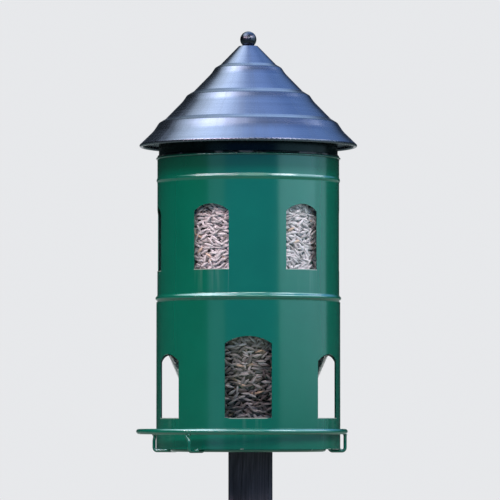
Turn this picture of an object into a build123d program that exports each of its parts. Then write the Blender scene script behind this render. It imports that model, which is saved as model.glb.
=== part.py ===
"""A tower-shaped bird feeder on a square timber post, in millimetres.

The origin is the middle of the post's foot on the ground, +Z is up, and the
large front opening faces -Y. Names that end in _height are heights above the
foot of the green shell, which stands at shell_foot_z above the ground.
"""
from build123d import *
from math import atan2, cos, degrees, radians, sin, sqrt, tan
import os

# Timber post
post_width = 44.0
post_length = 1000.0
post_turn = -6.0
post_offset = 2.4
post_arris = 2.0

# Thickness of the sheets, and the gap between pieces that seat on each other
shell_sheet = 0.8
roof_sheet = 0.9
tray_sheet = 1.2
hopper_wall = 1.2
collar_sheet = 1.0
seat_gap = 0.3

# Green shells, the upper one pushed into the lower one
shell_radius = 100.0
shell_slip = 0.2
joint_height = 159.0
joint_overlap = 12.0
upper_shell_stand = 157.4
rim_roll_radius = 1.1
middle_bead_width = 8.4
middle_bead_stand = 2.0
top_bead_below_rim = 24.9
top_bead_width = 7.0
top_bead_stand = 0.9

# Feed openings in the lower shell
feed_sill_height = 33.6
feed_arch_rise = 7.8
front_opening_width = 50.0
front_opening_tall = 87.1
side_opening_width = 40.5
side_opening_tall = 68.6
side_opening_angle = 60.0

# Windows in the upper shell
window_sill_above_joint = 33.7
window_width = 40.5
window_tall = 69.8
window_arch_rise = 7.8
window_count = 6
first_window_angle = -24.0

# Tray under the shell
tray_drop = 3.0
tray_foot_inset = 15.5
tray_shoulder_height = 6.0
tray_wall_height = 18.0
tray_bend = 2.5
drain_inset = 14.5
drain_size = 5.0
drain_count = 8

# Screws through the tray into the post
screw_spacing = 24.0
screw_shank = 5.0
screw_head = 10.0
screw_head_tall = 2.6
screw_head_edge = 0.9
screw_head_flat = 5.0
screw_length = 45.0
screw_point = 7.0

# Clear hopper and the seeds in it
hopper_gap = 3.2
hopper_below_collar = 10.4
hopper_knee_height = 120.6
hopper_knee_bend = 8.0
hopper_mouth_height = 14.0
hopper_cone_angle = 23.5
hopper_flange_gap = 0.4
hopper_flange_tall = 1.6
hopper_ring_gap = 0.6
hopper_ring_tall = 2.0
seed_below_brim = 7.0
seed_mound = 5.0
seed_repose = 24.0

# Perch ring and its wire brackets
perch_stand_off = 12.0
perch_rod = 6.0
perch_height = 18.9
perch_near_gap = 2.1
bracket_wire = 3.6
bracket_bend = 3.5
bracket_foot_gap = 1.7
bracket_angles = (90.0, -30.0, -120.4, 165.0)
bracket_leans = (1.5, 4.0, 1.7, 1.5)
bracket_lean_drop = 6.0

# Spun roof: slopes with a ledge and a steeper shoulder between them
crown_radius = 10.2
slope_pitch = 45.6
ledge_pitch = 31.0
shoulder_pitch = 56.5
lowest_slope_pitch = 44.0
upper_ledge_run = 6.0
middle_ledge_run = 7.5
lower_ledge_run = 7.0
shoulder_run = 4.2
top_slope_extra = 1.0
lowest_slope_cut = 4.7
lowest_shoulder_extra = 2.0
crown_bend = 1.2
crease_bend = 2.0
ledge_bend = 3.5
shoulder_bend = 30.0
eave_overhang = 18.9
eave_above_rim = 14.6
eave_roll_radius = 1.9

# Sleeve under the roof that drops into the shell
collar_gap = 0.8
collar_depth = 16.0
collar_bead_width = 3.0

# Ball on the crown and what holds it
ball_radius = 8.9
ball_seat_drop = 1.8
stud_size = 6.0
stud_in_ball = 9.0
stud_below_nut = 3.0
washer_radius = 8.0
washer_tall = 1.2
nut_flats = 10.0
nut_tall = 5.0

# Sizes that follow from the ones above
shell_foot_z = post_length + tray_drop
rim_height = joint_height + upper_shell_stand
upper_radius = shell_radius - shell_sheet - shell_slip
upper_inside = upper_radius - shell_sheet
hopper_radius = upper_inside - hopper_gap
hopper_top_height = rim_height - collar_depth - hopper_below_collar
tray_wall_radius = shell_radius - shell_sheet - seat_gap
tray_foot_radius = shell_radius - tray_foot_inset
perch_radius = shell_radius + perch_stand_off
perch_offset = shell_radius + perch_near_gap + perch_rod / 2 - perch_radius
collar_radius = upper_inside - collar_gap
eave_radius = upper_radius + eave_overhang
ledge_runs = (upper_ledge_run, middle_ledge_run, lower_ledge_run)
section = Plane((0, 0, shell_foot_z), x_dir=(1, 0, 0), z_dir=(0, -1, 0))
post_frame = Plane((post_offset, 0, 0)).rotated((0, 0, post_turn))
os.makedirs("parts", exist_ok=True)


def save(part, label):
    """Label one finished piece and write its file."""
    part.label = label
    export_step(part, f"parts/{label}.step")


def facing(angle, height):
    """Upright plane on the feeder's axis, looking out at an angle from the front."""
    turn = radians(angle)
    return Plane(
        origin=(0, 0, shell_foot_z + height),
        x_dir=(cos(turn), sin(turn), 0),
        z_dir=(sin(turn), -cos(turn), 0),
    )


def arch_face(width, tall, rise):
    """Opening with upright sides and a low round top, its sill at the origin."""
    half = width / 2
    spring = tall - rise
    with BuildSketch() as face:
        with BuildLine():
            Polyline((-half, spring), (-half, 0), (half, 0), (half, spring))
            ThreePointArc((half, spring), (0, tall), (-half, spring))
        make_face()
    return face.sketch


def beaded_wall(radius, foot, top, beads):
    """Outer line of a rolled shell with round beads pressed outwards.

    A bead is three tangent arcs of one radius: the wall turns out, over the
    crown and back. Each bead is its middle height, width and stand.
    """
    with BuildLine() as wall:
        reached = foot
        for height, width, stand in beads:
            turn = 2 * atan2(2 * stand, width)
            bend = width / 4 / sin(turn)
            Line((radius, reached), (radius, height - width / 2))
            start = JernArc((radius, height - width / 2), (0, 1), bend, -degrees(turn))
            crown = JernArc(start @ 1, start % 1, bend, 2 * degrees(turn))
            JernArc(crown @ 1, crown % 1, bend, -degrees(turn))
            reached = height + width / 2
        Line((radius, reached), (radius, top))
    return wall.line


def vessel_corners(inset):
    """Corners of the hopper's side, moved inwards by an inset square to it."""
    lean = radians(hopper_cone_angle)
    radius = hopper_radius - inset
    knee = hopper_knee_height + inset * tan(lean / 2)
    mouth = radius - (knee - hopper_mouth_height) * tan(lean)
    return (mouth, hopper_mouth_height), (radius, knee), (radius, hopper_top_height)


# Post: square timber with eased arrises, standing on the ground
with BuildPart() as post:
    with BuildSketch(post_frame):
        RectangleRounded(post_width, post_width, post_arris)
    extrude(amount=post_length)
    with Locations(post_frame.offset(post_length)):
        with GridLocations(screw_spacing, screw_spacing, 2, 2):
            Hole(screw_shank / 2 + seat_gap, depth=screw_length)
save(post.part, "post")

# Screws: pan heads inside the tray, points down in the post's end
screw_seat_z = post_length + tray_sheet
screw_places = [
    post_frame.from_local_coords(place.position)
    for place in GridLocations(screw_spacing, screw_spacing, 2, 2)
]
for number, place in enumerate(screw_places, start=1):
    with BuildPart() as post_screw:
        with BuildSketch(Plane((place.X, place.Y, screw_seat_z), x_dir=(1, 0, 0), z_dir=(0, -1, 0))):
            with BuildLine():
                Polyline(
                    (0, screw_head_tall),
                    (screw_head_flat / 2, screw_head_tall),
                    (screw_head / 2, screw_head_edge),
                    (screw_head / 2, 0),
                    (screw_shank / 2, 0),
                    (screw_shank / 2, screw_point - screw_length),
                    (0, -screw_length),
                    close=True,
                )
            make_face()
        revolve(axis=Axis((place.X, place.Y, 0), (0, 0, 1)))
    save(post_screw.part, f"post_screw_{number}")

# Tray: a pressed pan whose foot sits on the post and whose shoulder fills the shell
with BuildPart() as base_tray:
    with BuildSketch(section):
        with BuildLine():
            FilletPolyline(
                (0, -tray_drop),
                (tray_foot_radius, -tray_drop),
                (tray_foot_radius, tray_shoulder_height),
                (tray_wall_radius, tray_shoulder_height),
                (tray_wall_radius, tray_wall_height),
                radius=tray_bend,
            )
            offset(amount=tray_sheet, side=Side.LEFT)
        make_face()
    revolve(axis=Axis.Z)
    with Locations(post_frame.offset(screw_seat_z)):
        with GridLocations(screw_spacing, screw_spacing, 2, 2):
            Hole(screw_shank / 2 + seat_gap, depth=tray_sheet)
    with Locations(Plane.XY.offset(screw_seat_z)):
        with PolarLocations(tray_foot_radius - drain_inset, drain_count):
            Hole(drain_size / 2, depth=tray_sheet)
save(base_tray.part, "base_tray")

# Lower shell: plain cylinder with large openings front and back, small ones between
with BuildPart() as lower_shell:
    with BuildSketch(section):
        with Locations((shell_radius - shell_sheet, 0)):
            Rectangle(shell_sheet, joint_height, align=(Align.MIN, Align.MIN))
    revolve(axis=Axis.Z)
    for angle in (0, 180):
        with BuildSketch(facing(angle, feed_sill_height)):
            add(arch_face(front_opening_width, front_opening_tall, feed_arch_rise))
        extrude(amount=2 * shell_radius, mode=Mode.SUBTRACT)
    for side in (1, -1):
        for angle in (side_opening_angle, 180 - side_opening_angle):
            with BuildSketch(facing(side * angle, feed_sill_height)):
                add(arch_face(side_opening_width, side_opening_tall, feed_arch_rise))
            extrude(amount=2 * shell_radius, mode=Mode.SUBTRACT)
save(lower_shell.part, "lower_shell")

# Upper shell: slips into the lower one until its middle bead stops on the edge
middle_bead_height = joint_height + middle_bead_width / 2
shell_beads = (
    (middle_bead_height, middle_bead_width, middle_bead_stand),
    (rim_height - top_bead_below_rim, top_bead_width, top_bead_stand),
)
rim_roll_middle = (upper_inside + rim_roll_radius, rim_height - rim_roll_radius)
with BuildPart() as upper_shell:
    with BuildSketch(section):
        with BuildLine():
            add(beaded_wall(upper_radius, joint_height - joint_overlap, rim_roll_middle[1], shell_beads))
            offset(amount=shell_sheet, side=Side.LEFT)
        make_face()
        with Locations(rim_roll_middle):
            Circle(rim_roll_radius)
    revolve(axis=Axis.Z)
    for number in range(window_count):
        angle = first_window_angle + number * 360 / window_count
        with BuildSketch(facing(angle, joint_height + window_sill_above_joint)):
            add(arch_face(window_width, window_tall, window_arch_rise))
        extrude(amount=2 * shell_radius, mode=Mode.SUBTRACT)
save(upper_shell.part, "upper_shell")

# Ring in the middle bead's groove, which carries the hopper by its flange
ring_radius = upper_radius + middle_bead_stand - shell_sheet - 2 * seat_gap
ring_top_height = middle_bead_height + hopper_ring_tall / 2
with BuildPart() as hopper_ring:
    with BuildSketch(Plane.XY.offset(shell_foot_z + ring_top_height)):
        Circle(ring_radius)
        Circle(hopper_radius + hopper_ring_gap, mode=Mode.SUBTRACT)
    extrude(amount=-hopper_ring_tall)
save(hopper_ring.part, "hopper_ring")

# Hopper: a clear cylinder that draws in to an open cone over the tray
with BuildPart() as seed_hopper:
    with BuildSketch(section):
        with BuildLine():
            FilletPolyline(*vessel_corners(0), radius=hopper_knee_bend)
            offset(amount=hopper_wall, side=Side.LEFT)
        make_face()
        with Locations((hopper_radius - hopper_wall / 2, ring_top_height)):
            Rectangle(
                hopper_gap - hopper_flange_gap + hopper_wall / 2,
                hopper_flange_tall,
                align=(Align.MIN, Align.MIN),
            )
    revolve(axis=Axis.Z)
save(seed_hopper.part, "seed_hopper")

# Seeds in the hopper, heaped a little at the top
seed_mouth, seed_knee, seed_rim = vessel_corners(hopper_wall + seat_gap)
with BuildPart() as seed_fill:
    with BuildSketch(section):
        with BuildLine():
            side_line = FilletPolyline(
                seed_mouth,
                seed_knee,
                (seed_rim[0], seed_rim[1] - seed_below_brim),
                radius=hopper_knee_bend - hopper_wall - seat_gap,
            )
            Polyline(
                side_line @ 1,
                (0, seed_rim[1] - seed_below_brim + seed_mound),
                (0, hopper_mouth_height),
                side_line @ 0,
            )
        make_face()
    revolve(axis=Axis.Z)
save(seed_fill.part, "seed_fill")

# Seeds that have run out on to the tray, at their angle of repose
bed_foot_height = tray_sheet - tray_drop
bed_top_height = hopper_mouth_height - seat_gap
bed_foot_radius = tray_foot_radius - tray_sheet - tray_bend
bed_top_radius = bed_foot_radius - (bed_top_height - bed_foot_height) / tan(radians(seed_repose))
with BuildPart() as seed_bed:
    with BuildSketch(section):
        with BuildLine():
            Polyline(
                (0, bed_foot_height),
                (bed_foot_radius, bed_foot_height),
                (bed_top_radius, bed_top_height),
                (0, bed_top_height),
                close=True,
            )
        make_face()
    revolve(axis=Axis.Z)
    for place in screw_places:
        with BuildSketch(Plane((place.X, place.Y, screw_seat_z))):
            Circle(screw_head / 2 + seat_gap)
        extrude(amount=screw_head_tall + seat_gap, mode=Mode.SUBTRACT)
save(seed_bed.part, "seed_bed")

# Perch ring: a round bar ring that sits a little to one side of the feeder
with BuildPart() as perch_ring:
    with BuildSketch(section):
        with Locations((perch_offset + perch_radius, perch_height)):
            Circle(perch_rod / 2)
    revolve(axis=Axis((perch_offset, 0, 0), (0, 0, 1)))
save(perch_ring.part, "perch_ring")

# Brackets: wires from under the ring, in below the shell's edge and up to the tray
wire_run_height = -bracket_wire / 2 - seat_gap
bracket_foot_radius = tray_foot_radius + bracket_foot_gap + bracket_wire / 2
for number, (angle, lean) in enumerate(zip(bracket_angles, bracket_leans), start=1):
    lean_angle = atan2(lean, bracket_lean_drop)
    wire_top_height = perch_height - perch_rod / 2 - seat_gap - bracket_wire / 2 * sin(lean_angle)
    turn = radians(angle)
    ring_point = Vector(perch_offset + perch_radius * sin(turn), -perch_radius * cos(turn), shell_foot_z)
    along_ring = Vector(cos(turn), sin(turn), 0)
    foot_point = Vector(ring_point.X, ring_point.Y, 0).normalized() * bracket_foot_radius
    foot_point = Vector(foot_point.X, foot_point.Y, shell_foot_z)
    with BuildPart() as perch_bracket:
        with BuildLine():
            wire = FilletPolyline(
                ring_point + Vector(0, 0, wire_top_height) - along_ring * lean,
                ring_point + Vector(0, 0, wire_top_height - bracket_lean_drop),
                ring_point + Vector(0, 0, wire_run_height),
                foot_point + Vector(0, 0, wire_run_height),
                foot_point + Vector(0, 0, tray_shoulder_height - seat_gap),
                radius=(bracket_bend, bracket_bend, bracket_bend),
            )
        with BuildSketch(Plane(wire @ 0, z_dir=wire % 0)):
            Circle(bracket_wire / 2)
        sweep()
    save(perch_bracket.part, f"perch_bracket_{number}")

# Roof: one spun sheet whose slopes share what the ledges and shoulders leave
shoulders_run = len(ledge_runs) * shoulder_run + lowest_shoulder_extra
slope_room = eave_radius - crown_radius - sum(ledge_runs) - shoulders_run
slope_run = (slope_room - top_slope_extra + lowest_slope_cut) / (len(ledge_runs) + 1)
roof_steps = [(slope_run + top_slope_extra, slope_pitch)]
for ledge_run in ledge_runs:
    roof_steps += [(ledge_run, ledge_pitch), (shoulder_run, shoulder_pitch), (slope_run, slope_pitch)]
roof_steps[-2] = (shoulder_run + lowest_shoulder_extra, shoulder_pitch)
roof_steps[-1] = (slope_run - lowest_slope_cut, lowest_slope_pitch)
eave_height = rim_height + eave_above_rim
crown_height = eave_height + sum(run * tan(radians(pitch)) for run, pitch in roof_steps)
roof_corners = [Vector(crown_radius, crown_height)]
for run, pitch in roof_steps:
    roof_corners.append(roof_corners[-1] + Vector(run, -run * tan(radians(pitch))))
with BuildLine() as roof_line:
    roof_side = FilletPolyline(
        (stud_size / 2 + seat_gap, crown_height),
        *roof_corners,
        radius=[crown_bend] + [crease_bend, ledge_bend, shoulder_bend] * len(ledge_runs),
    )
# The eave's edge is rolled inwards, its round wire flush with the lowest slope
eave_fall = radians(lowest_slope_pitch)
eave_roll_middle = roof_corners[-1] - Vector(sin(eave_fall), cos(eave_fall)) * eave_roll_radius
with BuildPart() as roof_cone:
    with BuildSketch(section):
        with BuildLine():
            add(roof_line.line)
            offset(amount=roof_sheet, side=Side.RIGHT)
        make_face()
        with Locations((eave_roll_middle.X, eave_roll_middle.Y)):
            Circle(eave_roll_radius)
    revolve(axis=Axis.Z)
save(roof_cone.part, "roof_cone")

# Collar: a sleeve from inside the shell up to the roof's underside, its bead on the rim
collar_foot_height = rim_height - collar_depth
bead_radius = collar_bead_width / 2
rim_to_bead = bead_radius + rim_roll_radius + seat_gap
bead_height = rim_roll_middle[1] + sqrt(rim_to_bead**2 - (rim_roll_middle[0] - collar_radius) ** 2)
with BuildSketch() as under_roof:
    with BuildLine():
        add(roof_line.line)
        Polyline(
            roof_side @ 1,
            (eave_radius, collar_foot_height - collar_depth),
            (0, collar_foot_height - collar_depth),
            (0, crown_height),
            roof_side @ 0,
        )
    make_face()
    offset(amount=-roof_sheet - seat_gap)
with BuildPart() as roof_collar:
    with BuildSketch(section):
        with Locations((collar_radius, collar_foot_height)):
            Rectangle(collar_sheet, crown_height, align=(Align.MAX, Align.MIN))
        with Locations((collar_radius, bead_height)):
            Circle(bead_radius)
        with Locations((collar_radius - collar_sheet, bead_height)):
            Rectangle(
                collar_bead_width,
                collar_bead_width,
                align=(Align.MAX, Align.CENTER),
                mode=Mode.SUBTRACT,
            )
        add(under_roof.sketch, mode=Mode.INTERSECT)
    revolve(axis=Axis.Z)
save(roof_collar.part, "roof_collar")

# Ball knob, flattened where it sits on the crown and bored for its stud
ball_middle_height = crown_height + ball_radius - ball_seat_drop
with BuildPart() as finial_ball:
    with Locations((0, 0, shell_foot_z + ball_middle_height)):
        Sphere(ball_radius)
    split(bisect_by=Plane.XY.offset(shell_foot_z + crown_height), keep=Keep.TOP)
    with BuildSketch(Plane.XY.offset(shell_foot_z + crown_height)):
        Circle(stud_size / 2 + seat_gap)
    extrude(amount=stud_in_ball + seat_gap, mode=Mode.SUBTRACT)
save(finial_ball.part, "finial_ball")

# Washer and nut under the crown, and the stud through them into the ball
washer_top_height = crown_height - roof_sheet
nut_top_height = washer_top_height - washer_tall
with BuildPart() as finial_washer:
    with BuildSketch(Plane.XY.offset(shell_foot_z + washer_top_height)):
        Circle(washer_radius)
        Circle(stud_size / 2 + seat_gap, mode=Mode.SUBTRACT)
    extrude(amount=-washer_tall)
save(finial_washer.part, "finial_washer")

with BuildPart() as finial_nut:
    with BuildSketch(Plane.XY.offset(shell_foot_z + nut_top_height)):
        RegularPolygon(nut_flats / 2, 6, major_radius=False)
        Circle(stud_size / 2 + seat_gap, mode=Mode.SUBTRACT)
    extrude(amount=-nut_tall)
save(finial_nut.part, "finial_nut")

stud_foot_height = nut_top_height - nut_tall - stud_below_nut
with BuildPart() as finial_stud:
    with BuildSketch(Plane.XY.offset(shell_foot_z + stud_foot_height)):
        Circle(stud_size / 2)
    extrude(amount=crown_height + stud_in_ball - stud_foot_height)
save(finial_stud.part, "finial_stud")
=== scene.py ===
# %% [markdown]
# # A tower bird feeder on its post
#
# The feeder is a green powder-coated steel cylinder in two shells, with
# arched windows, a clear seed hopper inside and a spun roof on top. The solids
# come from the CAD frame. This notebook gives them their finishes, fills the
# hopper with thousands of sunflower seeds, and lights and frames the whole.

# %% Load the frame
import math

import bpy
import numpy as np
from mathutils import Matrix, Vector


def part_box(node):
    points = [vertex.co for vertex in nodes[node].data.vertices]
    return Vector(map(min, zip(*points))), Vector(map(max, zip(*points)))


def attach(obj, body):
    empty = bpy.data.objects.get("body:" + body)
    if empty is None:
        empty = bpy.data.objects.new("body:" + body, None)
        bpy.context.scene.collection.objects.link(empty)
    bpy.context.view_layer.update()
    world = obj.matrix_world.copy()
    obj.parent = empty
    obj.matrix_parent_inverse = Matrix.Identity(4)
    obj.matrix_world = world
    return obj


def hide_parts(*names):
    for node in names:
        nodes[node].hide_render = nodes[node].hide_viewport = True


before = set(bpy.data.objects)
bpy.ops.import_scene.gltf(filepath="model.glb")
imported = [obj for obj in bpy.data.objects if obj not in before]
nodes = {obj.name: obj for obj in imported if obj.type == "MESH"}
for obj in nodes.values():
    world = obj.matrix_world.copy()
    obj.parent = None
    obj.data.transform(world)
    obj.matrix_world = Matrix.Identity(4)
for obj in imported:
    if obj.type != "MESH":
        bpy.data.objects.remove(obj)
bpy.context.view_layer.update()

MM = 0.001

# %% [markdown]
# ## Heights from the shell's foot
#
# Heights are counted from the shell's foot, as a maker would. What the frame
# can say is read from its boxes, so the scene follows the solids. The few sizes
# that no box gives stand where they are first needed, in metres.

# %% The shell's foot and rim
foot_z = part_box("lower_shell")[0][2]
rim_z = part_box("upper_shell")[1][2]
print("shell from", round(foot_z, 4), "to", round(rim_z, 4))

# %% [markdown]
# ## Shader maths as plain expressions
#
# A material is a graph of nodes, and a long graph is hard to read. One small
# class wraps an output socket, so that `1 - mask * 0.5` adds the Math nodes it
# needs. A second class holds a tree and makes every other node with one
# method: the type, then its settings, then its sockets.


# %% One socket with arithmetic
def plug(tree, value, socket):
    """Link a wire to a socket, or write a number, a colour or a vector there."""
    if isinstance(value, Wire):
        tree.links.new(value.socket, socket)
    elif isinstance(value, tuple) and socket.type == "RGBA":
        socket.default_value = (*value, 1.0)[:4]
    else:
        socket.default_value = value


def math_node(tree, operation, *values, clamp=False):
    """A Math node on values that are wires or numbers."""
    node = tree.nodes.new("ShaderNodeMath")
    node.operation = operation
    node.use_clamp = clamp
    for value, socket in zip(values, node.inputs):
        plug(tree, value, socket)
    return Wire(tree, node.outputs[0])


class Wire:
    """An output socket. Arithmetic on it adds Math nodes to its tree."""

    def __init__(self, tree, socket):
        self.tree = tree
        self.socket = socket

    def math(self, operation, *others, clamp=False):
        return math_node(self.tree, operation, self, *others, clamp=clamp)

    def __add__(self, other):
        return self.math("ADD", other)

    def __sub__(self, other):
        return self.math("SUBTRACT", other)

    def __rsub__(self, other):
        return math_node(self.tree, "SUBTRACT", other, self)

    def __mul__(self, other):
        return self.math("MULTIPLY", other)

    __radd__ = __add__
    __rmul__ = __mul__

    def __gt__(self, other):
        return self.math("GREATER_THAN", other)

    def __lt__(self, other):
        return self.math("LESS_THAN", other)

    def __abs__(self):
        return self.math("ABSOLUTE")

    def between(self, low, high):
        """0 below low, 1 above high, and a straight rise from one to the other."""
        return (self - low).math("MULTIPLY", 1.0 / (high - low), clamp=True)


print("a wire adds, subtracts, multiplies and compares")


# %% A tree that makes its own nodes
class Graph:
    """A node tree. node() makes any node, and the other methods name the common ones."""

    def __init__(self, tree, coordinates):
        self.tree = tree
        self.tree.nodes.clear()
        self.place = self.node("TexCoord", output=coordinates)
        self.x, self.y, self.z = self.parts(self.place)

    def node(self, kind, settings=(), sockets=(), output=0):
        made = self.tree.nodes.new("ShaderNode" + kind)
        for key, value in dict(settings).items():
            setattr(made, key, value)
        for key, value in dict(sockets).items():
            plug(self.tree, value, made.inputs[key])
        return Wire(self.tree, made.outputs[output]) if output is not None else made

    def parts(self, vector):
        outputs = self.node("SeparateXYZ", sockets={0: vector}, output=None).outputs
        return [Wire(self.tree, output) for output in outputs]

    def vector(self, x, y, z):
        return self.node("CombineXYZ", sockets={0: x, 1: y, 2: z})

    def noise(self, vector, scale, detail=2.0, rough=0.5):
        sockets = {"Vector": vector, "Scale": scale, "Detail": detail, "Roughness": rough}
        return self.node("TexNoise", sockets=sockets)

    def stretched(self, scales, detail=2.0):
        """Noise with its own scale along each axis: a small scale draws it out that way."""
        vector = self.vector(self.x * scales[0], self.y * scales[1], self.z * scales[2])
        return self.noise(vector, 1.0, detail)

    def from_axis(self):
        """Distance from the tower's axis."""
        return (self.x * self.x + self.y * self.y).math("SQRT")

    def blend(self, factor, first, second):
        """Colour that goes from first to second as the factor goes from 0 to 1.

        A Mix node's colours are its sockets 6 and 7, and its colour output is number 2.
        """
        sockets = {0: factor, 6: first, 7: second}
        return self.node("Mix", {"data_type": "RGBA"}, sockets, output=2)

    def shade(self, colour, factor):
        """Colour times a number that may vary over the surface."""
        settings = {"data_type": "RGBA", "blend_type": "MULTIPLY"}
        sockets = {0: 1.0, 6: colour, 7: self.vector(factor, factor, factor)}
        return self.node("Mix", settings, sockets, output=2)

    def bump(self, height, depth, strength):
        sockets = {"Height": height, "Distance": depth, "Strength": strength}
        return self.node("Bump", sockets=sockets)

    def speck(self, cells, size, share):
        """1 in small spots: about a share of the cells hold one, a size of the cell wide."""
        sockets = {"Vector": self.place, "Scale": cells}
        voronoi = self.node("TexVoronoi", sockets=sockets, output=None)
        luck = self.parts(Wire(self.tree, voronoi.outputs["Color"]))[0]
        return (Wire(self.tree, voronoi.outputs["Distance"]) < size) * (luck < share)


class Finish(Graph):
    """A material: its patterns lie on the object's own coordinates."""

    def __init__(self, name):
        self.material = bpy.data.materials.new(name)
        self.material.use_nodes = True
        super().__init__(self.material.node_tree, "Object")

    def show(self, shader):
        self.node("OutputMaterial", sockets={"Surface": shader}, output=None)
        return self.material

    def surface(self, **sockets):
        """The Principled shader, with a socket's name written with underscores."""
        named = {key.replace("_", " "): value for key, value in sockets.items()}
        return self.show(self.node("BsdfPrincipled", sockets=named))


print("shader classes ready")

# %% [markdown]
# ## Green powder coat
#
# Powder coat is melted on, so it is glossy with a faint orange peel, and it is
# thinnest on cut edges, where it chips and shows pale primer. On the sills'
# cut edges a pale line is a painted highlight. Rain leaves pale runs under the
# windows. The band under the eave is dark: partly grimy, as rain never reaches
# it, and partly the eave's shade painted on. All this could be painted in an
# image for each shell. Masks of height and direction need no unwrapping, and
# noise breaks up their edges.

# %% Where the coat wears, and where highlight and shade are painted
GREEN = (0.0, 0.118, 0.072)
RAIN_MARK = (0.16, 0.30, 0.26)
PRIMER_AND_SILL_HIGHLIGHT = (0.42, 0.47, 0.43)
GRIME_AND_EAVE_SHADE = (0.004, 0.022, 0.012)
upper_sill = 192.7 * MM
lower_sill = 33.6 * MM
window_pitch = 60.0
half_window = 12.0
upper_first_window = -24.0
chip_height = 60 * MM
foot_edge_height = 0.8 * MM
sill_highlight_band = (-0.9 * MM, 0.4 * MM)
rain_run = 45 * MM
grime_and_shade_depth = 23 * MM
grime_and_shade_full_depth = 13 * MM
print("a window each", window_pitch, "degrees, sills at", upper_sill, "and", lower_sill)


# %% Green coat for the shells, the tray and the ring
def under_window(f, first_window):
    """1 in the directions that a window takes, by the turn from the front in degrees."""
    degrees = f.x.math("ARCTAN2", f.y * -1.0) * (180.0 / math.pi)
    to_middle = 360.0 + window_pitch / 2 - first_window
    turn = (degrees + to_middle).math("MODULO", window_pitch)
    return abs(turn - window_pitch / 2) < half_window


def green_coat(name, sill_height=None, first_window=0.0, rim=None):
    """Gloss green coat. With a sill height, cut edges there get a pale painted highlight, with
    rain marks below.

    With a rim's height, the band under it is duller and darker: grimy where rain can't reach,
    and painted shade of the eave.
    """
    f = Finish(name)
    mottle = f.noise(f.place, 22.0, 4.0, 0.6)
    peel = f.noise(f.place, 520.0)
    colour = f.shade(GREEN, 0.86 + mottle * 0.28)
    near_foot = 1.0 - f.z.between(foot_z, foot_z + chip_height)
    chips = f.speck(75.0, 0.075, 0.05) * near_foot
    foot_edge = (f.noise(f.place, 70.0, 4.0) > 0.66) * (f.z < foot_z + foot_edge_height) * 0.6
    pale = chips + foot_edge
    if sill_height is not None:
        window = under_window(f, first_window)
        sill = foot_z + sill_height
        # painted highlight: a pale line along each window's sill, where a rounded cut edge would
        # catch the light
        edge = (f.z > sill + sill_highlight_band[0]) * (f.z < sill + sill_highlight_band[1]) * window
        pale = pale + edge * 0.6
        run = (1.0 - (sill - f.z).between(0.0, rain_run)) * (f.z < sill) * window
        streak = f.stretched((160.0, 160.0, 7.0), 3.0)
        colour = f.blend(run * streak.between(0.5, 0.75) * 0.22, colour, RAIN_MARK)
    # pale primer at chips and at the foot, and the sills' painted highlight
    colour = f.blend(pale.math("MINIMUM", 1.0), colour, PRIMER_AND_SILL_HIGHLIGHT)
    coat = 1.0
    if rim is not None:
        # painted shade of the eave, with grimy paint, darkens the band under the rim
        grime_and_shade = f.z.between(rim - grime_and_shade_depth, rim - grime_and_shade_full_depth) * (0.8 + mottle * 0.4)
        colour = f.blend(grime_and_shade * 0.55, colour, GRIME_AND_EAVE_SHADE)
        coat = 1.0 - grime_and_shade * 0.45
    normal = f.bump(peel * 0.6 + mottle * 0.4, 0.05 * MM, 0.15)
    return f.surface(Base_Color=colour, Roughness=0.20 + mottle * 0.06 + pale * 0.3,
                     Normal=normal, Specular_IOR_Level=0.8, Specular_Tint=(0.2, 0.75, 1.0),
                     Coat_Weight=coat, Coat_Roughness=0.16, Coat_IOR=1.7)


def dress(material, *names):
    """Give CAD nodes a new material through their object's slots."""
    for name in names:
        for slot in nodes[name].material_slots:
            slot.link = "OBJECT"
            slot.material = material


brackets = sorted(name for name in nodes if name.startswith("perch_bracket"))
plain_green = green_coat("green_coat_plain")
dress(green_coat("green_coat_upper", upper_sill, upper_first_window, rim_z), "upper_shell")
dress(green_coat("green_coat_lower", lower_sill), "lower_shell")
dress(plain_green, "base_tray", "perch_ring", *brackets)
print("green coat on the shells, the tray, the ring and", len(brackets), "brackets")

# %% [markdown]
# ## Spun roof
#
# The roof is spun on a lathe, so fine rings run round it under a dark blue
# gloss lacquer. At each step a pale line is painted as a highlight, with a
# line of painted shade just below it. Rings could be cut into the mesh, but
# they are far too fine.
# They are noise that changes fast with height and hardly at all round the
# roof. Dried rain runs down the slopes, so another noise changes fast round
# the roof and slowly with height.

# %% Blue-black lacquer over spinning lines
ROOF_BLUE = (0.125, 0.145, 0.20)
BALL_BLUE = (0.05, 0.06, 0.085)
CREASE_HIGHLIGHT = (0.26, 0.27, 0.28)
roof_steps = [foot_z + height * MM for height in (414.3, 384.0, 353.9)]
highlight_above = 1.9 * MM
crease_shade_above = 0.5 * MM
eave_lip = foot_z + 333 * MM
off_axis = 1 * MM


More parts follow.
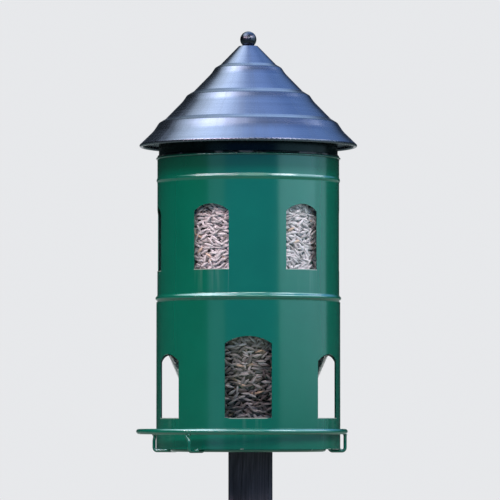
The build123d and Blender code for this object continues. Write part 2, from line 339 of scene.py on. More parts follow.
def spun_lacquer(name, colour, rings=1.0, steps=()):
    """Glossy lacquer on metal: rings by height, streaks by the direction from the axis.

    rings is the lines' strength. With steps, a painted highlight and a painted shade line lie at
    each of their heights, and the eave's lip below the slope is smooth.
    """
    f = Finish(name)
    radius = f.from_axis() + off_axis
    across = f.x.math("DIVIDE", radius)
    along = f.y.math("DIVIDE", radius)
    fine = f.stretched((9.0, 9.0, 1900.0))
    coarse = f.stretched((5.0, 5.0, 330.0), 3.0)
    streak = f.noise(f.vector(across * 11.0, along * 11.0, f.z * 12.0), 1.0)
    rain = streak.between(0.5, 0.8)
    cloud = f.noise(f.place, 30.0, 4.0, 0.65)
    lines = (fine - 0.5) * (0.30 * rings) + (coarse - 0.5) * (0.36 * rings)
    colour = f.shade(colour, 1.0 + lines - rain * (0.10 * rings) + (cloud - 0.5) * 0.16)
    for height in steps:
        # painted highlight at each step, and painted shade just below it
        bright = 1.0 - abs(f.z - (height + highlight_above)).between(0.1 * MM, 0.7 * MM)
        crease_shade = 1.0 - abs(f.z - (height + crease_shade_above)).between(0.3 * MM, 0.9 * MM)
        colour = f.blend(bright * cloud.between(0.3, 0.5) * 0.6, colour, CREASE_HIGHLIGHT)
        colour = f.shade(colour, 1.0 - crease_shade * 0.45)
    slope = f.z.between(eave_lip, eave_lip + 3 * MM) if steps else 1.0
    normal = f.bump((fine * 0.5 + coarse * 0.8) * slope, 0.05 * MM * rings, 0.3)
    return f.surface(Base_Color=colour, Roughness=0.26 + (fine - 0.5) * 0.10 + rain * 0.06,
                     Metallic=1.0, Coat_Weight=0.1, Coat_Roughness=0.1, Normal=normal)


dress(spun_lacquer("roof_lacquer", ROOF_BLUE, steps=roof_steps), "roof_cone")
dress(spun_lacquer("ball_lacquer", BALL_BLUE, rings=0.1), "finial_ball")
print("lacquer on the roof and its ball")

# %% [markdown]
# ## Black collar
#
# The collar under the eave slips into the shell and hangs on the rim by its
# bead. It has a plain black satin coat with dust. Short pale marks on the bead
# are painted highlights. A mask of height would draw a full ring there, so noise
# in plan breaks it into short marks.

# %% Black coat
BLACK = (0.001, 0.006, 0.007)
BLACK_DUST = (0.012, 0.02, 0.02)
BEAD_HIGHLIGHT = (0.16, 0.17, 0.19)
bead_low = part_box("roof_collar")[0][2] + 15.5 * MM
bead_band = 3 * MM


def black_coat(name):
    """Satin black: dust by noise, painted highlights on the bead by height times noise in plan.
    """
    f = Finish(name)
    dust = f.noise(f.place, 120.0, 4.0, 0.6)
    colour = f.blend(dust.between(0.45, 0.9) * 0.5, BLACK, BLACK_DUST)
    # painted highlights: short pale marks on the bead
    marks = f.noise(f.vector(f.x, f.y, 0.0), 34.0).between(0.56, 0.62)
    on_bead = f.z.between(bead_low, bead_low + 1 * MM) * (f.z < bead_low + bead_band)
    colour = f.blend(marks * on_bead * 0.7, colour, BEAD_HIGHLIGHT)
    normal = f.bump(f.noise(f.place, 700.0), 0.04 * MM, 0.5)
    return f.surface(Base_Color=colour, Roughness=0.18 + dust * 0.12, Normal=normal,
                     Specular_IOR_Level=0.25, Specular_Tint=(0.6, 0.9, 1.0))


dress(black_coat("black_coat_collar"), "roof_collar")
print("black coat on the collar")

# %% [markdown]
# ## Zinc plated steel
#
# The inner ring, the screws and the ball's fastenings are zinc plated: pale
# grey with a faint crystal mottle and fine scratches. A plain metal would look
# new and dead. The cells of a Voronoi texture are like the crystals, and noise
# drawn out across makes the scratches.

# %% Zinc plate
ZINC = (0.60, 0.61, 0.63)


def plated_steel(name):
    """Bright zinc: a crystal mottle in the colour, scratches in the gloss and the bump."""
    f = Finish(name)
    crystal = f.node("TexVoronoi", sockets={"Vector": f.place, "Scale": 420.0})
    scratch = f.stretched((900.0, 60.0, 300.0), 3.0)
    colour = f.shade(ZINC, 0.78 + crystal * 0.35)
    normal = f.bump(scratch, 0.03 * MM, 0.6)
    return f.surface(Base_Color=colour, Metallic=1.0, Roughness=0.26 + scratch * 0.2,
                     Normal=normal)


screws = sorted(name for name in nodes if name.startswith("post_screw"))
hardware = ["hopper_ring", "finial_stud", "finial_washer", "finial_nut", *screws]
dress(plated_steel("zinc_plate"), *hardware)
print("zinc plate on", len(hardware), "nodes")

# %% [markdown]
# ## Stained timber
#
# The post is planed softwood with a black stain that sinks in more between the
# rings of the wood, so its grain runs up it as fine lines. A wood photograph
# would repeat. Noise drawn out along the post doesn't, and a second, slower
# noise bends the lines as real grain bends. Pores are finer and shorter.

# %% Black stained timber
STAIN_DARK = (0.024, 0.024, 0.033)
STAIN_PALE = (0.115, 0.108, 0.150)


def stained_timber(name):
    """Softwood: long grain from noise stretched up the post, with patches and pores."""
    f = Finish(name)
    bend = f.stretched((6.0, 6.0, 5.0))
    along = f.vector(f.x * 420.0 + bend * 9.0, f.y * 420.0 + bend * 7.0, f.z * 11.0)
    grain = f.noise(along, 1.0, 5.0, 0.6)
    pores = f.stretched((1700.0, 1700.0, 45.0), 3.0)
    patch = f.stretched((25.0, 25.0, 9.0), 3.0)
    colour = f.blend(grain.between(0.30, 0.72), STAIN_DARK, STAIN_PALE)
    colour = f.shade(f.shade(colour, 0.75 + patch * 0.5), 0.8 + pores * 0.4)
    normal = f.bump(grain * 0.8 + pores * 0.5, 0.5 * MM, 0.5)
    return f.surface(Base_Color=colour, Roughness=0.68 + grain * 0.2, Normal=normal,
                     Specular_IOR_Level=0.0)


dress(stained_timber("black_stained_timber"), "post")
print("stain on the post")

# %% [markdown]
# ## Clear hopper
#
# The hopper is a thin clear plastic vessel, so it shows what is behind it and
# adds reflections that grow towards its edges. Real refraction would block the
# lamps and leave the seeds dark. A transparent shader mixed with a glossy one
# by Fresnel lets the light through and keeps the reflections.

# %% Clear plastic
CLEAR = (0.97, 0.985, 0.98)
GLOSS = (0.9, 0.93, 0.92)


def clear_plastic(name):
    """Transparent, with gloss by Fresnel and a faint haze of seed dust."""
    f = Finish(name)
    haze = f.noise(f.place, 45.0, 4.0, 0.6)
    smear = f.stretched((30.0, 30.0, 5.0), 3.0)
    facing = f.node("LayerWeight", sockets={"Blend": 0.5}, output="Facing")
    fresnel = facing.math("POWER", 5.0) * 0.96 + 0.035
    clear = f.node("BsdfTransparent", sockets={"Color": CLEAR})
    gloss = f.node("BsdfPrincipled", sockets={
        "Base Color": GLOSS, "Roughness": 0.06 + smear * 0.08, "Metallic": 0.9})
    factor = fresnel + haze.between(0.45, 0.8) * 0.02
    return f.show(f.node("MixShader", sockets={0: factor, 1: clear, 2: gloss}))


dress(clear_plastic("clear_hopper"), "seed_hopper")
print("clear plastic on the hopper")

# %% [markdown]
# ## Closed surfaces from arrays
#
# Every new piece here is a closed surface: rows of points round it, and one
# point at each end. bmesh could build it face by face, but that is slow for
# thousands of seeds. So the faces are worked out as whole arrays, and
# foreach_set hands them to the mesh at once.


# %% Faces of a closed grid, and a mesh from arrays
def closed_grid(rows, count):
    """Faces of a closed surface, for rows of count points and then its two end points.

    The point at place k of row i has the number i times count plus k. A four-sided face
    joins neighbours in two rows, and at each end three-sided faces meet in one point.
    """
    row, k = np.meshgrid(np.arange(rows - 1), np.arange(count), indexing="ij")
    here = (row * count + k).ravel()
    beside = (row * count + (k + 1) % count).ravel()
    quads = np.column_stack([here, beside, beside + count, here + count])
    k = np.arange(count)
    after = (k + 1) % count
    last = (rows - 1) * count
    first_end = np.column_stack([np.full(count, rows * count), after, k])
    last_end = np.column_stack([np.full(count, rows * count + 1), last + k, last + after])
    return quads, np.vstack([first_end, last_end])


def copies(faces, points_each, total):
    """The same faces for each of many copies, whose points follow one another."""
    first = np.arange(total)[:, None, None] * points_each
    return (faces[None] + first).reshape(-1, faces.shape[1])


def add_mesh(name, points, quads, triangles=()):
    """Smooth object at the origin, from arrays of points and faces."""
    corners = np.concatenate([np.ravel(quads), np.ravel(triangles)]).astype(np.int32)
    starts = np.concatenate([np.arange(len(quads)) * 4,
                             len(quads) * 4 + np.arange(len(triangles)) * 3])
    mesh = bpy.data.meshes.new(name)
    mesh.vertices.add(len(points))
    mesh.vertices.foreach_set("co", np.ravel(points))
    mesh.loops.add(len(corners))
    mesh.loops.foreach_set("vertex_index", corners)
    mesh.polygons.add(len(starts))
    mesh.polygons.foreach_set("loop_start", starts)
    mesh.update(calc_edges=True)
    mesh.validate()
    mesh.polygons.foreach_set("use_smooth", np.ones(len(mesh.polygons), dtype=bool))
    made = bpy.data.objects.new(name, mesh)
    bpy.context.scene.collection.objects.link(made)
    return made


print("a grid of 5 rows of 6 has", sum(len(faces) for faces in closed_grid(5, 6)), "faces")

# %% [markdown]
# ## One sunflower seed
#
# A seed in its husk is a flat drop about 11 mm long: pointed at one end, round
# at the other and lens-shaped across. Thousands are needed, so one seed is a
# small grid of five rings of six points between two tips. Its shape is a
# function of the place along it and the angle round it.

# %% The seed's grid
seed_length = 11.2 * MM
seed_width = 3.3 * MM
seed_thick = 2.8 * MM
seed_rings = 5
points_round = 6


def seed_template():
    """Points of one seed, and the side that each is on.

    Along the seed, t runs from 0 at the round end to 1 at the tip. The half
    width is sin(pi t) to the power 0.8, times a taper that falls with t. The
    section is a flat ellipse, so its height is the sine of the angle round it,
    and the side is the cosine: -1 and 1 at the two edges of the seed.
    """
    t = (np.arange(seed_rings) + 0.7) / (seed_rings + 0.4)
    swell = np.sin(np.pi * t) ** 0.8 * (1.22 - 0.52 * t)
    turn = np.arange(points_round) * 2 * np.pi / points_round
    x = np.repeat(t - 0.5, points_round)
    y = np.outer(swell, np.cos(turn)).ravel() / 2
    z = np.outer(swell, np.sin(turn)).ravel() / 2
    points = np.vstack([np.column_stack([x, y, z]), [[-0.5, 0, 0], [0.5, 0, 0]]])
    sides = np.concatenate([np.tile(np.cos(turn), seed_rings), [0.0, 0.0]])
    return points * [seed_length, seed_width, seed_thick], sides


seed_points, seed_sides = seed_template()
seed_quads, seed_caps = closed_grid(seed_rings, points_round)
print("one seed:", len(seed_points), "points,", len(seed_quads) + len(seed_caps), "faces")

# %% [markdown]
# ## Seeds laid on a surface
#
# Poured seeds lie flat against the hopper's wall, mostly on their sides, and no
# two point the same way. Rigid bodies could be dropped to find that, but for
# thousands of seeds it is slow. Here rows of seats run round a profile, and each
# seed is moved, turned and tipped on its seat by chance. The draws start from a
# fixed number, so every run gives the same heap.

# %% Seats on a surface of revolution
UP = np.array([0, 0, 1])
row_jitter = 0.42
seat_jitter = 0.4
size_spread = 0.09
smallest = 0.78
largest = 1.2
spin_spread = 0.62
roll_share = 1.6
pitch_share = 0.45


def seats(profile, spacing, rng):
    """Points on a surface of revolution, with three axes at each: round, up and out of it.

    The profile is points (radius, height). Rows lie at equal steps along it, and each
    holds as many seats as its circle has room for. A point is (radius times the
    direction from the axis, height), and up is the profile's own direction there.
    """
    steps = np.diff(profile, axis=0)
    lengths = np.hypot(*steps.T)
    reach = np.concatenate([[0], np.cumsum(lengths)])
    row_step, seat_step = spacing
    rows = np.arange(row_step / 2, reach[-1], row_step)
    radii = np.interp(rows, reach, profile[:, 0])
    counts = np.maximum(1, np.round(2 * np.pi * radii / seat_step).astype(int))
    in_row = np.repeat(counts, counts)
    total = len(in_row)
    place = (np.arange(total) - np.repeat(np.cumsum(counts) - counts, counts)) / in_row
    along = np.repeat(rows, counts) + rng.uniform(-row_jitter, row_jitter, total) * row_step
    along = np.clip(along, 0, reach[-1])
    turn = 2 * np.pi * (place + rng.uniform(-seat_jitter, seat_jitter, total) / in_row)
    turn = turn + np.repeat(rng.uniform(0, 2 * np.pi, len(counts)), counts)
    run = np.clip(np.searchsorted(reach, along, side="right") - 1, 0, len(steps) - 1)
    slope = steps[run] / lengths[run][:, None]
    out = np.column_stack([np.cos(turn), np.sin(turn), np.zeros(total)])
    level = np.column_stack([-np.sin(turn), np.cos(turn), np.zeros(total)])
    up = out * slope[:, :1] + UP * slope[:, 1:]
    radius = np.interp(along, reach, profile[:, 0])
    height = np.interp(along, reach, profile[:, 1]) + foot_z
    return out * radius[:, None] + UP * height[:, None], level, up, np.cross(level, up)


def swing(first, second, angle):
    """The first axis turned towards the second, by an angle for each row."""
    return first * np.cos(angle)[:, None] + second * np.sin(angle)[:, None]


def scatter(profile, spacing, depth, chance, lean=0.20):
    """Middles and axes of seeds laid on a profile: along, across and through each seed.

    A seed's length is level, turned by its spin towards up and then by its pitch out
    of the surface, and its width turns by its roll. The seed is set in by half its
    reach towards the surface, so that it only touches it, and then by the depth.
    """
    rng = np.random.default_rng(chance)
    point, level, up, face = seats(np.asarray(profile), spacing, rng)
    total = len(point)
    size = rng.normal(1.0, size_spread, total).clip(smallest, largest)
    spin = rng.normal(0, spin_spread, total) + np.pi * rng.integers(0, 2, total)
    roll = rng.normal(0, lean * roll_share, total)
    pitch = rng.normal(0, lean * pitch_share, total)
    lying = swing(level, up, spin)
    side = np.cross(face, lying)
    length = swing(lying, face, pitch)
    width = swing(side, np.cross(length, side), roll)
    thick = np.cross(length, width)
    reach = size / 2 * (seed_thick * np.abs(np.cos(roll)) + seed_width * np.abs(np.sin(roll))
                        + seed_length * np.abs(np.sin(pitch)))
    middle = point - face * (reach + depth)[:, None]
    return middle, np.stack([length, width, thick], axis=1) * size[:, None, None]


print("seats move by up to", row_jitter, "of a row and", seat_jitter, "of a place")


# %% Many seeds in one mesh
def seed_piece(name, groups, chance, pale):
    """One mesh of many seeds, with a tone, a warmth and a side written on every point.

    A point is the seed's middle plus the template's point along the seed's three axes.
    The tone is a random share to a power, 0.5 over pale: a high pale makes pale seeds, as
    painted light on a piece, and a low pale makes dark seeds, as painted shade.
    """
    rng = np.random.default_rng(chance)
    middle = np.vstack([group[0] for group in groups])
    axes = np.vstack([group[1] for group in groups])
    total, each = len(middle), len(seed_points)
    points = middle[:, None, :] + np.einsum("pk,skc->spc", seed_points, axes)
    quads = copies(seed_quads, each, total)
    caps = copies(seed_caps, each, total)
    made = add_mesh(name, points.reshape(-1, 3), quads, caps)
    values = {
        "tone": np.repeat(rng.random(total) ** (0.5 / pale), each),
        "warmth": np.repeat(rng.random(total), each),
        "side": np.tile(seed_sides, total),
    }
    for key, value in values.items():
        made.data.attributes.new(key, "FLOAT", "POINT").data.foreach_set("value", value)
    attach(made, "root")
    print(name, total, "seeds,", 2 * len(quads) + len(caps), "triangles")
    return made


print("tone, warmth and side go with every point")

# %% [markdown]
# ## The hopper's seeds and the heap on the tray
#
# The hopper is full to its brim, and seeds run out below onto the tray, where
# they lie in a heap. Only the outermost seeds show, so each surface gets a few
# layers, one behind the other. The front two are sparse, so that whole seeds
# stand out against the next ones. Front and rear layers are separate pieces,
# which keeps each piece under 200,000 triangles.

# %% Sizes of the hopper and of the heap
fill_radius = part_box("seed_fill")[1][0]
fill_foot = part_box("seed_fill")[0][2] - foot_z
fill_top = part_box("seed_fill")[1][2] - foot_z
knee_height = 120.6 * MM
knee_clearance = 0.6 * MM
mouth_radius = 48.4 * MM
mound_height = 5.0 * MM
mound_edge = 3 * MM
brim = fill_top - mound_height
window_low = 180 * MM
window_high = 274 * MM
bed_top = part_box("seed_bed")[1][2] - foot_z
bed_inner_radius = 46.0 * MM
bed_slope = math.radians(24.0)
heap_edge = 72 * MM
heap_inner_edge = 60 * MM
heap_inner_depth = 2.6 * MM
print("hopper filled from", round(fill_foot, 4), "to", round(fill_top, 4))

# %% Layers of seeds on each profile
wall_gap = 0.2 * MM
outer = (4.9 * MM, 10.5 * MM)
inner = (4.2 * MM, 9.8 * MM)
loose = (5.0 * MM, 9.5 * MM)
sparse = (6.0 * MM, 13.0 * MM)


def cone_radius(height):
    """Inside radius of the hopper's cone: a straight line from its mouth to its knee."""
    share = (height - fill_foot) / (knee_height - fill_foot)
    return mouth_radius + (fill_radius - mouth_radius) * share


def heap(radius):
    """Profile of the heap on the tray, from a radius up its slope to its top."""
    edge_height = bed_top - (radius - bed_inner_radius) * math.tan(bed_slope)
    return [(radius, edge_height), (bed_inner_radius, bed_top)]


def layers(profile, chance, count=4, gap=1.15 * MM, front=outer):
    """Layers one behind the other, a gap apart. The first two have the front's spacing."""
    return [scatter(profile, front if k < 2 else inner, wall_gap + k * gap, chance + k)
            for k in range(count)]


cone = [(cone_radius(fill_foot), fill_foot),
        (cone_radius(knee_height) - knee_clearance, knee_height)]
below_windows = [(fill_radius - 2 * knee_clearance, knee_height + 1 * MM),
                 (fill_radius, window_low)]
wall = [(fill_radius, window_low), (fill_radius, window_high)]
above_windows = [(fill_radius, window_high), (fill_radius, brim)]
mound = [(fill_radius - mound_edge, brim), (mound_edge, fill_top)]

at_windows = layers(wall, 11)
in_cone = layers(cone, 21, gap=1.4 * MM, front=sparse)
behind_shell = [scatter(below_windows, loose, wall_gap, 31, lean=0.1),
                *layers(above_windows, 32, count=3)]
on_tray = [*layers(heap(heap_edge), 51, count=2),
           scatter(heap(heap_inner_edge), inner, heap_inner_depth, 53)]
# pale per piece is painted light and shade: window seeds are made paler, seeds in the cone
# darker, and the deep ones darkest
seed_pieces = [
    seed_piece("seeds_at_windows", at_windows[:2], 13, 1.7),
    seed_piece("seeds_behind_windows", at_windows[2:], 14, 1.7),
    seed_piece("seeds_in_cone", in_cone[:2], 23, 0.4),
    seed_piece("seeds_deep_in_cone", in_cone[2:], 24, 0.22),
    seed_piece("seeds_behind_shell", behind_shell, 33, 0.5),
    seed_piece("seeds_on_top", layers(mound, 41), 43, 0.5),
    seed_piece("seeds_on_tray", on_tray, 53, 0.5),
]
print(len(seed_pieces), "pieces of seeds")

# %% [markdown]
# ## Cores behind the seeds
#
# A heap of seeds is dark between them, since light dies in the gaps. Seeds
# right through would cost a million faces that nobody sees. A core turned from
# one profile, a few millimetres inside the outer layers, stands for them.

# %% A turned body from a profile
core_inset = 6.2 * MM
core_lift = 1 * MM
bed_core_inset = 6 * MM
bed_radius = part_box("seed_bed")[1][0]
bed_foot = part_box("seed_bed")[0][2] - foot_z


def turned(name, profile, count=96):
    """Surface of revolution, closed at both ends on the axis.

    A point is (radius times cosine of the turn, radius times sine, height),
    and the profile runs from the axis at the bottom to the axis at the top.
    """
    radius, height = np.asarray(profile)[1:-1].T
    turn = np.arange(count) * 2 * np.pi / count
    x = np.outer(radius, np.cos(turn)).ravel()
    y = np.outer(radius, np.sin(turn)).ravel()
    z = np.repeat(height, count)
    ends = [[0, 0, profile[0][1]], [0, 0, profile[-1][1]]]
    points = np.vstack([np.column_stack([x, y, z]), ends]) + UP * foot_z
    return add_mesh(name, points, *closed_grid(len(radius), count))


seed_core = turned("seed_core", [
    (0, fill_foot + core_lift), (mouth_radius - core_inset, fill_foot + core_lift),
    (fill_radius - core_inset, knee_height), (fill_radius - core_inset, brim - core_inset),
    (0, fill_top - core_inset)])
bed_core = turned("bed_core", [
    (0, bed_foot), (bed_radius - bed_core_inset, bed_foot),
    (bed_inner_radius, bed_top - core_inset), (0, bed_top - core_inset)])
for core, node in ((seed_core, "seed_fill"), (bed_core, "seed_bed")):
    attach(core, "root")
    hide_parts(node)
print("cores stand for seed_fill and seed_bed")

# %% [markdown]
# ## Husks
#
# A striped husk is grey-white with dark lines from end to end. Its two edges are
# darker, partly its own stripe and partly painted shade where seeds meet. The
# mesh says where a point is across its seed, so the stripes follow every seed,
# which a pattern in space could not do. Each seed also has its own tone. A few
# are the tan of a bare kernel, and some are almost black.

# %% Striped husk and dark core
HUSK_DARK = (0.20, 0.165, 0.175)
HUSK_PALE = (0.98, 0.92, 1.0)
STRIPE_AND_EDGE_SHADE = (0.12, 0.095, 0.10)
KERNEL = (0.80, 0.55, 0.40)
BLACK_HUSK = (0.16, 0.13, 0.13)
GAP_DARK = (0.012, 0.010, 0.010)
GAP_PALE = (0.05, 0.042, 0.040)


def striped_husk(name):
    """Stripes and painted edge shade by the side of the seed, shades by its tone, tan or black
    by its warmth.
    """
    f = Finish(name)
    side, tone, warmth = (f.node("Attribute", {"attribute_name": key}, output="Fac")
                          for key in ("side", "tone", "warmth"))
    fibre = f.noise(f.place, 900.0, 3.0)
    # darker husk edges: partly a stripe, partly painted shade where seeds meet
    edge = abs(side).between(0.70, 1.0)
    line = (1.0 - abs(abs(side) - 0.3).between(0.02, 0.2)) * (fibre > 0.42) * 0.35
    husk = f.blend(tone, HUSK_DARK, HUSK_PALE)
    husk = f.blend(edge * 0.75 + line, husk, STRIPE_AND_EDGE_SHADE)
    husk = f.blend((warmth > 0.96) * 0.75, husk, KERNEL)
    husk = f.blend((warmth < 0.08) * 0.7, husk, BLACK_HUSK)
    normal = f.bump(fibre, 0.12 * MM, 0.5)
    return f.surface(Base_Color=husk, Roughness=0.48 + fibre * 0.15, Normal=normal)


def dark_gaps(name):
    """Painted shade: the dim brown between seeds, where light dies in the gaps."""
    f = Finish(name)
    patch = f.noise(f.place, 260.0, 3.0)
    colour = f.blend(patch, GAP_DARK, GAP_PALE)
    return f.surface(Base_Color=colour, Roughness=0.8, Normal=f.bump(patch, 1.5 * MM, 1.0))


husk = striped_husk("striped_husk")
gaps = dark_gaps("dark_between_seeds")
for material, pieces in ((husk, seed_pieces), (gaps, [seed_core, bed_core])):
    for piece in pieces:
        piece.data.materials.append(material)
print("husks on the seeds")

# %% [markdown]
# ## Weld beads on the brackets
#
# Each bracket wire is welded under the perch ring and again at the shell's
# foot, and the coat runs over both. A bead is a small drop, flatter than it is
# wide. A metaball would do, but a sphere's grid with its height pressed in has
# few faces, an exact size and no seam.

# %% Where the brackets meet the ring and the shell
shell_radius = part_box("lower_shell")[1][0]
perch_radius = 112.0 * MM
perch_offset = -6.9 * MM
perch_height = 18.9 * MM
perch_rod = 6.0 * MM
bracket_turns = np.radians([90.0, -30.0, -120.4, 165.0])
print(len(bracket_turns), "brackets, ring", perch_height, "above the shell's foot")

# %% Beads at the ring and at the shell's foot
ring_bead = (2.3 * MM, 2.3 * MM, 1.5 * MM)
foot_bead = (2.2 * MM, 2.2 * MM, 1.3 * MM)
ring_bead_drop = 0.4 * MM
foot_bead_drop = 0.9 * MM
foot_bead_inset = 0.2 * MM


def beads(name, centres, radii, rings=9, count=14):
    """Closed drops, whose rings run from the bottom to the top.

    A point is the centre plus the radii times (sin a cos b, sin a sin b, -cos a).
    """
    a = np.linspace(0, np.pi, rings + 2)[1:-1]
    b = np.arange(count) * 2 * np.pi / count
    x = np.outer(np.sin(a), np.cos(b)).ravel()
    y = np.outer(np.sin(a), np.sin(b)).ravel()
    drop = np.vstack([np.column_stack([x, y, np.repeat(-np.cos(a), count)]), -UP, UP])
    points = np.asarray(centres)[:, None] + drop * np.asarray(radii)[:, None]
    quads, caps = (copies(faces, len(drop), len(centres)) for faces in closed_grid(rings, count))
    made = add_mesh(name, points.reshape(-1, 3), quads, caps)
    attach(made, "root")
    made.data.materials.append(plain_green)
    return made


on_ring = np.column_stack([perch_offset + perch_radius * np.sin(bracket_turns),
                           -perch_radius * np.cos(bracket_turns), 0 * bracket_turns])
ring_welds = on_ring + UP * (foot_z + perch_height - perch_rod / 2 - ring_bead_drop)
to_shell = on_ring / np.linalg.norm(on_ring, axis=1)[:, None]
foot_welds = to_shell * (shell_radius - foot_bead_inset) + UP * (foot_z - foot_bead_drop)
welds = beads("perch_welds", np.vstack([ring_welds, foot_welds]),
              [ring_bead] * len(ring_welds) + [foot_bead] * len(foot_welds))
print("weld beads:", len(welds.data.polygons), "faces")

# %% [markdown]
# ## Floor
#
# The feeder stands on one wide pale sheet at the post's foot. A bright floor
# would light every underside, which the ground below a post doesn't, so light
# bounces off it dimly. A plain sheet would show its horizon, so far out it
# glows in the backdrop's own colour. Light Path tells the camera's rays, and
# those off gloss or through glass, from the others.

# %% Who sees the pale background
BACKDROP = (0.80, 0.81, 0.83)


def seen(graph, gloss_share):
    """1 for rays from the camera, and the share that is given for rays off gloss and glass."""
    path = graph.node("LightPath", output=None).outputs
    camera, gloss, glass = (Wire(graph.tree, path[f"Is {kind} Ray"])
                            for kind in ("Camera", "Glossy", "Transmission"))
    return camera.math("MAXIMUM", (gloss + glass) * gloss_share)


print("backdrop", BACKDROP)

# %% A wide pale floor
FLOOR = (0.47, 0.455, 0.41)
FLOOR_BOUNCE = (0.20, 0.22, 0.16)
half_floor = 60.0
fade_start = 3.0
fade_end = 9.0
wedge_slope = 0.2


def floor_finish(name):
    """Matt and pale, and from a few metres out the backdrop's own colour, so no line shows.

    Gloss sees that colour only in a narrow wedge behind the tower.
    """
    f = Finish(name)
    pale = f.shade(FLOOR, 0.97 + f.noise(f.place, 2.0) * 0.06)
    matt = f.node("BsdfDiffuse", sockets={"Color": f.blend(seen(f, 0.0), FLOOR_BOUNCE, pale)})
    glow = f.node("Emission", sockets={"Color": BACKDROP})
    behind = abs(f.x) < f.y * wedge_slope
    factor = f.from_axis().between(fade_start, fade_end) * seen(f, behind)
    return f.show(f.node("MixShader", sockets={0: factor, 1: matt, 2: glow}))


corners = [(x * half_floor, y * half_floor, 0) for x, y in ((-1, -1), (1, -1), (1, 1), (-1, 1))]
floor = add_mesh("floor", corners, [(0, 1, 2, 3)])
floor.data.materials.append(floor_finish("pale_floor"))
print("floor", 2 * half_floor, "m wide")

# %% [markdown]
# ## World
#
# Gloss mirrors all that is round it, so the world needs bright and dark sides.
# An image of a room would do, but here the world is a dim room with a few soft
# glows, each a lobe about a direction, which are easy to move. The camera sees
# only the pale backdrop. Gloss sees it straight behind the tower, so that the
# hopper's clear sides show it too.


# %% World: a dim room, soft glows above and the pale backdrop
def way(turn, rise):
    """Unit vector, turned from the front to the right and raised, both in degrees."""
    turn, rise = math.radians(turn), math.radians(rise)
    level = math.cos(rise)
    return Vector((math.sin(turn) * level, -math.cos(turn) * level, math.sin(rise)))


ROOM = (0.01, 0.016, 0.018)
# turn, rise and edge in degrees, and for a glow the colour in its middle
behind_tower = (180, 3, 11)
glows = [
    (-112, 60, 28, (3.1, 3.5, 3.7)),
    (-70, 54, 26, (1.6, 1.5, 1.6)),
    (180, 54, 28, (1.0, 1.3, 1.6)),
    (0, 88, 34, (0.85, 1.15, 1.75)),
    (126, 52, 42, (0.36, 0.68, 1.42)),
]


def lobe(graph, turn, rise, edge):
    """1 towards a direction, falling with the cosine to 0 at the edge's angle from it."""
    to = way(turn, rise)
    cosine = graph.x * to.x + graph.y * to.y + graph.z * to.z
    return cosine.between(math.cos(math.radians(edge)), 1.0)


def studio_world():
    """Brightness by direction: the room, plus each glow's colour times its lobe."""
    world = bpy.data.worlds.new("studio")
    bpy.context.scene.world = world
    world.use_nodes = True
    w = Graph(world.node_tree, "Generated")
    light = ROOM
    for turn, rise, edge, colour in glows:
        amount = lobe(w, turn, rise, edge)
        light = w.node("VectorMath", {"operation": "MULTIPLY_ADD"},
                       {0: w.vector(amount, amount, amount), 1: colour, 2: light})
    shown = w.blend(seen(w, lobe(w, *behind_tower)), light, BACKDROP)
    background = w.node("Background", sockets={0: shown})
    w.node("OutputWorld", sockets={0: background}, output=None)


studio_world()
print("world with", len(glows), "glows")

# %% [markdown]
# ## Lamps
#
# The form of a gloss cylinder is read from the upright bands of light on it.
# Sun lamps would give hard shadows and no bands, so the lamps are large soft
# boxes. A narrow strip makes the bright line on the left, and dim, cool panels
# fill the front and the sides. A box's power is worked out from the brightness
# that it shows, so a colour renders about as it is written.

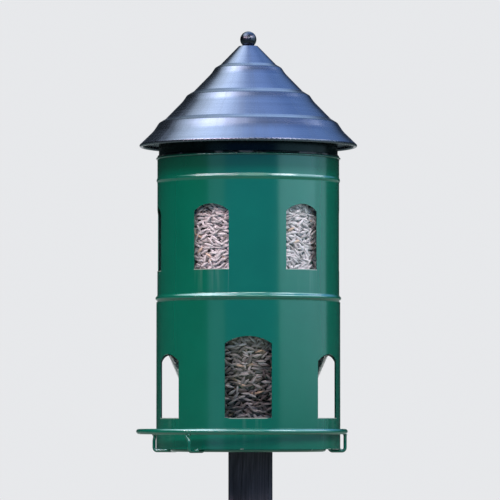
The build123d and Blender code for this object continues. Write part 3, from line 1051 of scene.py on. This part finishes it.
# %% Soft boxes
tower_middle = Vector((0, 0, foot_z + 0.2))
soft_boxes = [
    # name, turn and rise in degrees, distance, width, height, brightness and tint
    ("box_left_high", -70, 54, 2.6, 2.0, 1.4, 1.65, (1.0, 0.94, 0.92)),
    ("strip_left", -44, 33, 2.6, 2.5, 0.14, 46.0, (1.0, 0.66, 0.65)),
    ("box_front_high", -42, 60, 2.8, 2.2, 1.5, 2.3, (1.0, 0.92, 0.90)),
    ("box_front", 8, 31, 2.6, 1.2, 0.6, 7.6, (1.0, 0.92, 0.78)),
    ("box_right_high", 82, 36, 3.0, 3.6, 1.3, 2.4, (1.0, 0.97, 0.95)),
    ("box_right_front", 50, 40, 2.6, 1.3, 0.7, 10.5, (1.0, 0.81, 0.81)),
    ("panel_right", 76, 14, 2.4, 3.8, 1.5, 0.66, (0.62, 0.88, 1.0)),
    ("panel_right_upper", 65, 19, 2.4, 2.5, 1.5, 0.50, (0.68, 0.88, 1.0)),
    ("panel_left_front", -40, 12, 2.4, 0.9, 1.6, 0.36, (0.45, 0.7, 1.0)),
    ("panel_front", 4, 13, 2.6, 3.4, 1.4, 0.36, (0.08, 0.3, 1.0)),
]


def soft_box(name, aim, distance, width, height, brightness, tint):
    """Area lamp facing the tower. Its power is brightness times pi times its area."""
    lamp = bpy.data.lights.new(name, "AREA")
    lamp.shape = "RECTANGLE"
    lamp.size = width
    lamp.size_y = height
    lamp.energy = brightness * math.pi * width * height
    lamp.color = tint
    holder = bpy.data.objects.new(name, lamp)
    bpy.context.scene.collection.objects.link(holder)
    holder.location = tower_middle + aim * distance
    holder.rotation_mode = "QUATERNION"
    holder.rotation_quaternion = aim.to_track_quat("Z", "Y")
    holder.visible_camera = False


for name, turn, rise, *rest in soft_boxes:
    soft_box(name, way(turn, rise), *rest)

# %% [markdown]
# ## Camera
#
# The camera stands 4.7 m off with a long lens, level with the tower's foot,
# and looks up a little, so the roof's underside just shows at both sides. A
# near camera with a short lens would frame the same and bend the rings more.

# %% A long lens at the tower's foot
metres_per_pixel = 1.087 * MM
picture_pixels = 500
sensor_mm = 36
camera_distance = 4.7
camera_height = foot_z + 26 * MM
aim_above = 175 * metres_per_pixel
aim_right = 1.7 * metres_per_pixel
far_clip = 200
camera_data = bpy.data.cameras.new("camera")
camera_data.sensor_width = sensor_mm
camera_data.lens = sensor_mm * camera_distance / metres_per_pixel / picture_pixels
camera_data.clip_end = far_clip
camera = bpy.data.objects.new("camera", camera_data)
bpy.context.scene.collection.objects.link(camera)
camera.location = (0, -camera_distance, camera_height)
aim = Vector((aim_right, 0, camera_height + aim_above))
camera.rotation_mode = "QUATERNION"
camera.rotation_quaternion = (aim - camera.location).to_track_quat("-Z", "Y")
bpy.context.scene.camera = camera
bpy.context.scene.view_settings.view_transform = "Standard"
print("lens", round(camera_data.lens, 1), "mm")
